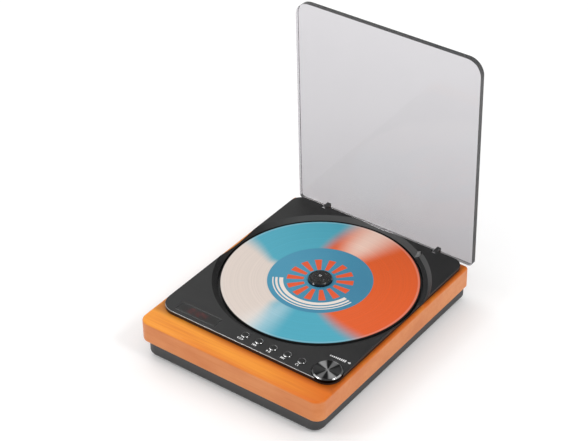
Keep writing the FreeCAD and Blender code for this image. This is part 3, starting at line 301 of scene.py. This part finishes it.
def deck_material():
    """Black moulded plastic: painted shade deepens its black in the well and on the bevel's front part, a
    painted highlight lightens the bevel at the back, and a painted metallic highlight lines its front edge.
    """
    m = Shader("deck_black")
    _, forward, height = m.parts(m.place())
    across, backward, upward = m.facing()
    broad = m.noise(m.place(), 75.0)
    fine = m.noise(m.place(), 900.0, detail=4.0)
    shade = m.mix(m.vary(broad), grey(22), grey(28))
    well_edge = DISC_MIDDLE.z
    # Painted shade: deeper black in the well, below the disc's level.
    shade = m.mix(m.span(height, well_edge - 0.6 * MM, well_edge, 1.0, 0.0), shade, grey(8))
    above_well = m.span(height, well_edge, well_edge + 0.2 * MM)
    bevel = m.math("MULTIPLY", m.band(upward, 0.7, 0.92, 0.04), above_well)
    # Painted highlight lightens the bevel's back part; painted shade darkens its front part, which is also
    # rougher.
    painted_bevel_highlight = m.math("MULTIPLY", bevel, m.span(backward, -0.15, -0.4))
    shaded_dull_bevel = m.math("MULTIPLY", bevel, m.span(backward, 0.0, 0.2))
    shade = m.mix(painted_bevel_highlight, shade, grey(66))
    shade = m.mix(shaded_dull_bevel, shade, grey(5))
    # Painted highlight: a bright metallic line along the rounding of the front edge.
    front_strip = m.span(forward, DECK_LOW.y + 3 * MM, DECK_LOW.y + 4 * MM, 1.0, 0.0)
    rounding = m.math("MULTIPLY", front_strip, m.band(upward, 0.35, 0.85, 0.1))
    painted_edge_highlight = m.math("MULTIPLY", rounding, m.span(across, 0.15, 0.35, 1.0, 0.0))
    m.set(Base_Color=m.mix(painted_edge_highlight, shade, grey(190)), Metallic=painted_edge_highlight)
    satin = m.vary(fine, 0.28, 0.40)
    m.set(Roughness=m.math("ADD", satin, m.math("MULTIPLY", shaded_dull_bevel, 0.5)))
    m.bump(fine, 0.05, 0.05 * MM)
    return m.material


def lid_material():
    """Grey-tinted clear sheet, with painted shade on its cut edges that face right and up, and a tint darker
    towards the bottom as painted shade.
    """
    m = Shader("grey_clear_sheet")
    facing_right, _, upward = m.facing()
    # Painted shade: the cut edges facing right and up are dark.
    edge = m.span(m.math("MAXIMUM", facing_right, upward), 0.3, 0.7)
    across, _, height = m.parts(m.place())
    low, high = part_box("lid")
    # Painted shade: the tint grows darker towards the bottom.
    lean = m.math("SUBTRACT", height, m.math("MULTIPLY", across, 0.1))
    tint = m.mix(m.span(lean, low.z, high.z), colour(189, 187, 190), colour(216, 214, 217))
    cloud = m.noise(m.place(), 25.0)
    tint = m.mix(m.span(cloud, 0.35, 0.65, 0.0, 0.05), tint, grey(232))
    m.set(Base_Color=m.mix(edge, tint, grey(28)), Transmission_Weight=1.0, IOR=1.2)
    m.set(Roughness=m.vary(cloud, 0.0, 0.02))
    m.pass_shadows(grey(215))
    return m.material


ORANGE_MIDDLE = math.radians(34)
CREAM_MIDDLE = math.radians(-142)


def disc_sectors(m):
    """Soft sectors on a blue disc: orange, narrower outwards, and cream, wider outwards."""
    radius, turn = m.polar(DISC_MIDDLE, CREAM_MIDDLE)
    inward = m.span(radius, 36 * MM, 60 * MM, 1.0, 0.0)
    rounding = m.math("MULTIPLY", m.math("MULTIPLY", inward, inward), math.radians(9.5))
    away = m.math("ADD", m.math("ABSOLUTE", turn), rounding)
    cream = m.span(away, math.radians(38), math.radians(52), 1.0, 0.0, smooth=True)
    shade = m.mix(cream, colour(72, 169, 191), colour(224, 210, 200))
    radius, turn = m.polar(DISC_MIDDLE, ORANGE_MIDDLE)
    narrowing = m.span(radius, 30 * MM, 60 * MM, 0.835, 1.08)
    away = m.math("MULTIPLY", m.math("ABSOLUTE", turn), narrowing)
    orange = m.span(away, math.radians(64), math.radians(81), 1.0, 0.0, smooth=True)
    return m.mix(orange, shade, colour(229, 90, 16))


def painted_disc_sheen(m, shade):
    """Two painted highlights: pale radial streaks opposite each other, as a grooved disc catches the light.
    """
    highlight_streaks = ((88, 25, 0.75, colour(255, 235, 219)), (-96, 18, 0.35, colour(238, 244, 246)))
    for middle, reach, amount, pale in highlight_streaks:
        radius, turn = m.polar(DISC_MIDDLE, math.radians(middle))
        streak = m.span(m.math("ABSOLUTE", turn), 0.0, math.radians(reach), amount, 0.0, smooth=True)
        fade = m.span(radius, 32 * MM, 40 * MM, 0.75, 1.0)
        shade = m.mix(m.math("MULTIPLY", streak, fade), shade, pale)
    return shade


def disc_label(m, radius, turn):
    """A plain geometric label: blue ground, a ring of orange rays and cream arcs at one side."""
    lean = m.span(m.math("COSINE", turn), -1.0, 1.0)
    ground = m.mix(lean, colour(66, 146, 176), colour(54, 128, 160))
    ray_count = 14
    wave = m.math("COSINE", m.math("MULTIPLY", turn, ray_count))
    rays = m.math("MULTIPLY", m.span(wave, -0.15, 0.15), m.band(radius, 10 * MM, 20 * MM, 0.2 * MM))
    shade = m.mix(rays, ground, colour(226, 84, 36))
    side = m.band(turn, math.radians(-150), math.radians(-15), math.radians(1))
    for inner, outer in ((22.2, 24.4), (25.6, 26.8), (28.0, 28.6)):
        arc = m.math("MULTIPLY", m.band(radius, inner * MM, outer * MM, 0.15 * MM), side)
        shade = m.mix(arc, shade, colour(234, 222, 212))
    return shade


def disc_material():
    """A glossy printed disc with fine grooves, a plain label, painted highlights, and a dark rim painted as
    the shadow at its edge.
    """
    m = Shader("printed_disc")
    radius, turn = m.polar(DISC_MIDDLE)
    label = m.span(radius, LABEL_RADIUS - 0.15 * MM, LABEL_RADIUS + 0.15 * MM, 1.0, 0.0)
    rings = m.noise(m.along(radius), 700.0, detail=2.0)
    printed = m.mix(m.vary(rings, 0.0, 0.09), painted_disc_sheen(m, disc_sectors(m)), grey(30))
    # Painted highlight: a pale line just inside the print's edge.
    painted_rim_highlight = m.band(radius, PRINT_RADIUS - 1.0 * MM, PRINT_RADIUS - 0.2 * MM, 0.3 * MM)
    printed = m.mix(painted_rim_highlight, printed, m.mix(0.15, printed, grey(228)))
    # Painted shade: the rim beyond the print is dark, as the shadow at the disc's edge.
    printed = m.mix(m.span(radius, PRINT_RADIUS, PRINT_RADIUS + 0.3 * MM), printed, grey(14))
    shade = m.mix(label, printed, disc_label(m, radius, turn))
    groove = m.math("SINE", m.math("MULTIPLY", radius, 2 * math.pi / GROOVE_PITCH))
    m.set(Base_Color=m.mix(m.span(groove, -1.0, 1.0, 0.0, 0.05), shade, grey(240)))
    m.set(Roughness=m.span(label, 0.0, 1.0, 0.36, 0.44), Specular_IOR_Level=0.15)
    m.turned_metal(0.7)
    m.bump(m.math("MULTIPLY", groove, m.math("SUBTRACT", 1.0, label)), 0.05, 0.02 * MM)
    return m.material


# Pairs of painted highlight wedges across the knob: angle, where the wave starts and is full, grey
KNOB_HIGHLIGHT_WEDGES = ((27, 0.2, 0.9, 78), (-33, 0.68, 0.97, 165), (87, 0.78, 0.99, 150))
# Angles of the painted highlight crescents on the knob's rim
KNOB_HIGHLIGHT_CRESCENTS = (-98, -15)
TURNING_PITCH = 0.35 * MM


def knob_material():
    """Dark spun metal: painted highlights as paler wedges and a bright centre on its face, fine turning
    rings, and a polished rim with painted highlight crescents and painted shade on its side wall.
    """
    m = Shader("spun_dark_metal")
    radius, turn = m.polar(KNOB_MIDDLE)
    ring_wave = m.math("SINE", m.math("MULTIPLY", radius, 2 * math.pi / TURNING_PITCH))
    patches = m.noise(m.place(), 900.0)
    face = m.mix(m.vary(patches), grey(26), grey(40))
    # Painted highlights: paler wedges across the face.
    for middle, start, full, shade in KNOB_HIGHLIGHT_WEDGES:
        wedge = m.span(m.turn_wave(turn, middle, count=2), start, full, smooth=True)
        face = m.mix(wedge, face, grey(shade))
    # Painted highlight: a bright centre.
    face = m.mix(m.span(radius, 0.2 * MM, 1.6 * MM, 0.6, 0.0), face, grey(200))
    face = m.mix(m.span(ring_wave, -1, 1, 0.0, 0.12), face, grey(20))
    rim = m.span(radius, KNOB_FACE_RADIUS, KNOB_FACE_RADIUS + 0.1 * MM)
    edge = grey(90)
    # Painted highlights: bright crescents on the rim.
    for middle in KNOB_HIGHLIGHT_CRESCENTS:
        highlight_crescent = m.span(m.turn_wave(turn, middle), 0.91, 0.97, smooth=True)
        edge = m.mix(highlight_crescent, edge, grey(225))
    # Painted shade: the rim's side wall is darker.
    shaded_wall = m.span(m.facing()[2], 0.15, 0.45, 1.0, 0.0)
    edge = m.mix(shaded_wall, edge, grey(22))
    m.set(Base_Color=m.mix(rim, face, edge), Metallic=1.0)
    m.set(Roughness=m.span(rim, 0.0, 1.0, 0.4, 0.16))
    m.turned_metal(0.8)
    m.bump(ring_wave, 0.04, 0.02 * MM)
    return m.material


# Angles of the painted highlight arcs on each button's ring
BUTTON_HIGHLIGHT_ARCS = (75, -98)


def button_material(button):
    """A dark polished ring with painted highlights as brighter arcs."""
    m = Shader(f"{button}_chrome")
    _, turn = m.polar(middle_of(button))
    patches = m.noise(m.place(), 900.0)
    shade = m.mix(m.vary(patches), grey(118), grey(134))
    # Painted highlights: brighter arcs on the ring.
    for middle in BUTTON_HIGHLIGHT_ARCS:
        arc = m.span(m.turn_wave(turn, middle), 0.75, 0.95, smooth=True)
        shade = m.mix(arc, shade, grey(250))
    m.set(Base_Color=shade, Metallic=1.0, Roughness=m.vary(patches, 0.1, 0.14))
    return m.material


def window_material():
    """Smoked clear window, almost as dark as the deck around it."""
    m = Shader("smoked_window")
    cloud = m.noise(m.place(), 60.0)
    m.set(Base_Color=m.mix(m.vary(cloud), grey(140), grey(156)), Transmission_Weight=1.0)
    m.set(Roughness=m.vary(cloud, 0.28, 0.34))
    return m.material


def lit_material():
    """Dim red of lit display segments."""
    m = Shader("dim_red_segments")
    cloud = m.noise(m.place(), 500.0)
    glow = m.mix(m.vary(cloud), colour(190, 56, 54), colour(214, 72, 68))
    m.set(Base_Color=glow, Emission_Color=glow, Emission_Strength=0.4, Roughness=0.6)
    return m.material


rubber = mottled("black_rubber", grey(28), grey(38), 0.8, bump=0.1)
steel = mottled("plain_steel", grey(150), grey(175), 0.35, metallic=1.0)
chrome = mottled("polished_chrome", grey(205), grey(222), 0.1, metallic=1.0, spread=0.04)
black_plastic = mottled("black_plastic", grey(24), grey(34), 0.5, bump=0.08)
gloss_black = mottled("gloss_black", grey(16), grey(24), 0.22)
hub_black = mottled("hub_black", grey(24), grey(31), 0.28)
board_green = mottled("board_green", colour(20, 78, 44), colour(30, 98, 56), 0.4, scale=400.0)
tin = mottled("tinned_steel", grey(180), grey(200), 0.3, metallic=1.0, scale=600.0)
hinge_black = mottled("hinge_satin_black", grey(44), grey(56), 0.35)
lens_blue = mottled("coated_lens", colour(60, 70, 120), colour(90, 80, 140), 0.08)
ink = mottled("white_ink", grey(226), grey(244), 0.5, scale=1500.0)
frame_ink = mottled("grey_ink", grey(104), grey(120), 0.5, scale=1500.0)

paint(wood_material(), "plinth")
paint(base_material(), "base_pan")
paint(rubber, "rubber_feet", "chassis_dampers")
paint(deck_material(), "deck")
paint(lid_material(), "lid")
paint(disc_material(), "disc")
paint(hub_black, "turntable_hub")
paint(knob_material(), "volume_knob")
paint(window_material(), "display_window")
paint(hinge_black, "hinge_arm_left", "hinge_arm_right")
paint(chrome, "hub_locking_balls", "hinge_pins", "spindle_shaft", "encoder_shaft")
for button in BUTTONS:
    paint(button_material(button), button)
paint(steel, "case_screws", "control_board_screws", "drive_chassis", "chassis_screws",
      "guide_rods", "lead_screw", "main_board_screws", "spindle_motor", "sled_motor")
paint(tin, "wireless_module", "power_inlet")
paint(board_green, "control_board", "main_board")
paint(lens_blue, "pickup_lens")
paint(black_plastic, "encoder_body", "tact_switches", "display_digits", "infrared_receiver",
      "pickup_sled", "controller_chip", "capacitors", "audio_jack")


# Added pieces

def new_piece(name, corners, faces, material, body):
    mesh = bpy.data.meshes.new(name)
    mesh.from_pydata(corners, [], faces)
    mesh.materials.append(material)
    mesh.validate()
    piece = bpy.data.objects.new(name, mesh)
    bpy.context.collection.objects.link(piece)
    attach(piece, body)


def lathe(name, centre, profile, material, body, segments=40):
    """A turned piece: the profile runs from the axis outwards and down, as radius and height."""
    corners = [(centre.x, centre.y, centre.z + profile[0][1])]
    for radius, height in profile[1:]:
        for step in range(segments):
            angle = 2 * math.pi * step / segments
            corners.append((centre.x + radius * math.cos(angle),
                            centre.y + radius * math.sin(angle), centre.z + height))
    faces = []
    for step in range(segments):
        after = (step + 1) % segments
        faces.append((0, 1 + step, 1 + after))
        for ring in range(len(profile) - 2):
            start = 1 + ring * segments
            following = start + segments
            faces.append((start + step, following + step, following + after, start + after))
    last = 1 + (len(profile) - 2) * segments
    faces.append(tuple(last + step for step in reversed(range(segments))))
    new_piece(name, corners, faces, material, body)


INK_THICKNESS = 0.03 * MM


def prism(corners, faces, outline, bottom, top):
    """Adds a flat upright prism over an outline that runs anticlockwise."""
    count = len(outline)
    start = len(corners)
    for level in (bottom, top):
        corners.extend((x, y, level) for x, y in outline)
    faces.append(tuple(start + n for n in reversed(range(count))))
    faces.append(tuple(start + count + n for n in range(count)))
    for n in range(count):
        after = (n + 1) % count
        faces.append((start + n, start + after, start + count + after, start + count + n))


def print_marks(name, outlines, middle_x, middle_y, level, material, body):
    """Flat printed shapes in millimetres about a middle point, as one thin piece."""
    corners = []
    faces = []
    for outline in outlines:
        placed = [(middle_x + x * MM, middle_y + y * MM) for x, y in outline]
        prism(corners, faces, placed, level, level + INK_THICKNESS)
    new_piece(name, corners, faces, material, body)


def bar_outline(left, right, low, high):
    return [(left, low), (right, low), (right, high), (left, high)]


def triangle_outline(base_x, tip_x, half):
    outline = [(base_x, -half), (tip_x, 0.0), (base_x, half)]
    return outline if tip_x > base_x else list(reversed(outline))


def arc_outline(radius, width, start, finish, steps=14):
    angles = [math.radians(start + (finish - start) * n / steps) for n in range(steps + 1)]
    outer = [(math.cos(a) * (radius + width / 2), math.sin(a) * (radius + width / 2)) for a in angles]
    inner = [(math.cos(a) * (radius - width / 2), math.sin(a) * (radius - width / 2)) for a in angles]
    return outer + list(reversed(inner))


# Printed marks, in millimetres about their own middle
MARK_HALF = 0.85


def skip_outlines(way):
    """A bar and two triangles that point one way."""
    bar = sorted((way * 1.3, way * 1.05))
    return [
        bar_outline(bar[0], bar[1], -MARK_HALF, MARK_HALF),
        triangle_outline(-way * 1.3, -way * 0.15, MARK_HALF),
        triangle_outline(-way * 0.15, way * 1.0, MARK_HALF),
    ]


MARKS = {
    "mode_button": [
        triangle_outline(-1.3, -2.2, MARK_HALF),
        bar_outline(-0.9, 0.9, -0.62, -0.3),
        bar_outline(-0.9, 0.9, 0.3, 0.62),
        triangle_outline(1.3, 2.2, MARK_HALF),
    ],
    "previous_button": skip_outlines(-1),
    "play_button": [
        triangle_outline(-1.3, -0.1, MARK_HALF),
        bar_outline(0.3, 0.65, -MARK_HALF, MARK_HALF),
        bar_outline(0.95, 1.3, -MARK_HALF, MARK_HALF),
    ],
    "next_button": skip_outlines(1),
    "repeat_button": [
        arc_outline(0.8, 0.3, -30, 250),
        [(0.35, -0.45), (1.05, -0.95), (1.15, -0.1)],
    ],
}
MARK_SHIFT = Vector((-0.7 * MM, -3.9 * MM))
INLAY_RADIUS = 1.95 * MM
INLAY_DOME = (
    (0.0, 0.1 * MM),
    (INLAY_RADIUS * 0.6, 0.08 * MM),
    (INLAY_RADIUS * 0.92, 0.045 * MM),
    (INLAY_RADIUS, 0.0),
)

for button in BUTTONS:
    middle = middle_of(button)
    print_marks(f"{button}_mark", MARKS[button], middle.x + MARK_SHIFT.x, middle.y + MARK_SHIFT.y,
                DECK_TOP, ink, "case")
    top = Vector((middle.x, middle.y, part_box(button)[1].z))
    lathe(f"{button}_inlay", top, INLAY_DOME, gloss_black, f"{button}_body")


def volume_marks():
    """A rising row of bars behind the knob and a small loudspeaker beside it."""
    count, pitch, width = 9, 1.2, 0.7
    bars = []
    for n in range(count):
        left = (n - (count - 1) / 2) * pitch - width / 2
        bars.append(bar_outline(left, left + width, -0.9, -0.1 + n * 0.13))
    place = KNOB_MIDDLE + Vector((-1.5, 12.6, 0)) * MM
    print_marks("volume_scale", bars, place.x, place.y, DECK_TOP, ink, "case")
    speaker = [
        bar_outline(-0.8, -0.3, -0.35, 0.35),
        [(-0.3, -0.35), (0.3, -0.85), (0.3, 0.85), (-0.3, 0.35)],
        arc_outline(0.75, 0.2, -50, 50, steps=8),
    ]
    print_marks("volume_sign", speaker, KNOB_MIDDLE.x + 6.0 * MM, place.y, DECK_TOP, ink, "case")


SEGMENTS = {
    "a": (0.5, 1.0, True), "b": (1.0, 0.75, False), "c": (1.0, 0.25, False), "d": (0.5, 0.0, True),
    "e": (0.0, 0.25, False), "f": (0.0, 0.75, False), "g": (0.5, 0.5, True),
}
DIGITS = {"0": "abcdef", "1": "bc", "2": "abdeg", "4": "bcfg"}


def segment_outline(x, y, half_length, half_width, level):
    """A bar with pointed ends, lying or standing."""
    tip = half_length
    flat = half_length - half_width
    points = [(-tip, 0), (-flat, -half_width), (flat, -half_width), (tip, 0), (flat, half_width),
              (-flat, half_width)]
    if not level:
        points = [(-b, a) for a, b in points]
    return [(x + a, y + b) for a, b in points]


def display_segments():
    """Dim red seven-segment digits under the window."""
    width, height, slant, half_width, pitch = 1.9, 3.6, 0.14, 0.28, 3.2
    gap = 0.12
    outlines = []
    for n, digit in enumerate("0124"):
        left = (n - 1.5) * pitch - width / 2
        for name in DIGITS[digit]:
            across, up, level = SEGMENTS[name]
            half = (width if level else height / 2) / 2 - gap
            outline = segment_outline(left + across * width, (up - 0.5) * height, half, half_width,
                                      level)
            outlines.append([(x + y * slant, y) for x, y in outline])
    low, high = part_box("display_digits")
    print_marks("display_segments", outlines, low.x + 12.0 * MM, (low.y + high.y) / 2 + 0.4 * MM,
                high.z, lit_material(), "case")


def display_frame():
    """Thin grey lines printed along the window's two long sides."""
    low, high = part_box("display_window")
    half_x = (high.x - low.x) / 2 / MM
    half_y = (high.y - low.y) / 2 / MM
    line = 0.22
    outlines = [
        bar_outline(-half_x, half_x, half_y - line, half_y),
        bar_outline(-half_x, half_x, -half_y, line - half_y),
    ]
    middle = middle_of("display_window")
    print_marks("display_frame", outlines, middle.x, middle.y, DECK_TOP, frame_ink, "case")


volume_marks()
display_segments()
display_frame()


# Studio

def seen_rays(shader):
    """One for rays from the camera and for those that gloss and clear pieces send on."""
    path = shader.add("ShaderNodeLightPath")
    seen = shader.math("MAXIMUM", path.outputs["Is Camera Ray"], path.outputs["Is Glossy Ray"])
    return shader.math("MAXIMUM", seen, path.outputs["Is Transmission Ray"])


FLOOR_REACH = 6.0
FLOOR_COLOUR = (0.9, 0.9, 0.9, 1)
FLOOR_GLOW = 0.12


def make_floor():
    """A plain pale floor that glows a little for the camera, so that it renders white."""
    mesh = bpy.data.meshes.new("studio_floor")
    corners = [(x * FLOOR_REACH, y * FLOOR_REACH, 0) for x, y in ((-1, -1), (1, -1), (1, 1), (-1, 1))]
    mesh.from_pydata(corners, [], [(0, 1, 2, 3)])
    floor = bpy.data.objects.new("studio_floor", mesh)
    bpy.context.collection.objects.link(floor)
    m = Shader("studio_white")
    m.set(Base_Color=FLOOR_COLOUR, Roughness=0.9, Specular_IOR_Level=0.0)
    glow = m.add("ShaderNodeEmission")
    m.link(m.math("MULTIPLY", seen_rays(m), FLOOR_GLOW), glow.inputs["Strength"])
    total = m.add("ShaderNodeAddShader")
    m.link(m.surface.outputs[0], total.inputs[0])
    m.link(glow.outputs[0], total.inputs[1])
    m.link(total.outputs[0], m.tree.nodes["Material Output"].inputs["Surface"])
    mesh.materials.append(m.material)


WORLD_LIGHT = 0.78
SEEN_WHITE = 0.9
SEEN_DIM = 0.45
DIM_START = 0.3
DIM_FULL = 0.5


class WorldShader(Shader):
    """The same helpers on the world's own nodes."""

    def __init__(self, world):
        self.tree = world.node_tree


def make_world():
    """White where it is seen round the horizon, and dimmer high up, as under a studio's ceiling."""
    world = bpy.data.worlds.new("studio")
    bpy.context.scene.world = world
    world.use_nodes = True
    background = world.node_tree.nodes["Background"]
    background.inputs["Color"].default_value = (1, 1, 1, 1)
    w = WorldShader(world)
    height = w.parts(w.add("ShaderNodeTexCoord").outputs["Generated"])[2]
    seen = seen_rays(w)
    white = w.math("MULTIPLY", seen, w.span(height, DIM_START, DIM_FULL, SEEN_WHITE, SEEN_DIM))
    spread = w.span(seen, 0.0, 1.0, WORLD_LIGHT, 0.0)
    w.link(w.math("ADD", white, spread), background.inputs["Strength"])


# Lamps: name, place, width and watts
LAMPS = (
    ("back_left", (-0.81, 0.38, 1.08), 0.6, 1.8),
    ("overhead_left", (-0.52, -0.32, 1.14), 0.7, 1.0),
    ("front_left", (-0.73, -0.87, 0.98), 0.26, 1.6),
    ("right", (0.985, -0.042, 1.13), 0.3, 3.9),
)


def area_light(name, place, size, watts):
    """A round lamp aimed at the middle of the floor."""
    data = bpy.data.lights.new(name, "AREA")
    data.shape = "DISK"
    data.size = size
    data.energy = watts
    lamp = bpy.data.objects.new(name, data)
    bpy.context.collection.objects.link(lamp)
    lamp.location = place
    aim = -Vector(place)
    lamp.rotation_euler = aim.to_track_quat("-Z", "Y").to_euler()


make_floor()
make_world()
for name, place, size, watts in LAMPS:
    area_light(name, place, size, watts)


# Camera, solved from the photograph with the disc as its scale

PHOTO_WIDTH = 588
SENSOR_WIDTH = 36.0
FOCAL_PIXELS = 1752.62
CAMERA_PLACE = Vector((485.04, -666.44, 662.10)) * MM
CAMERA_RIGHT = Vector((0.80647, 0.59118, -0.01077))
CAMERA_UP = Vector((-0.33558, 0.47264, 0.81486))

camera_data = bpy.data.cameras.new("photo_camera")
camera_data.sensor_width = SENSOR_WIDTH
camera_data.lens = SENSOR_WIDTH * FOCAL_PIXELS / PHOTO_WIDTH
camera_data.clip_start = 0.05
camera = bpy.data.objects.new("photo_camera", camera_data)
bpy.context.collection.objects.link(camera)
camera_back = CAMERA_RIGHT.cross(CAMERA_UP).normalized()
camera_up = camera_back.cross(CAMERA_RIGHT).normalized()
camera_turn = Matrix((CAMERA_RIGHT.normalized(), camera_up, camera_back)).transposed()
camera.matrix_world = Matrix.Translation(CAMERA_PLACE) @ camera_turn.to_4x4()
bpy.context.scene.camera = camera
bpy.context.scene.view_settings.view_transform = "Standard"
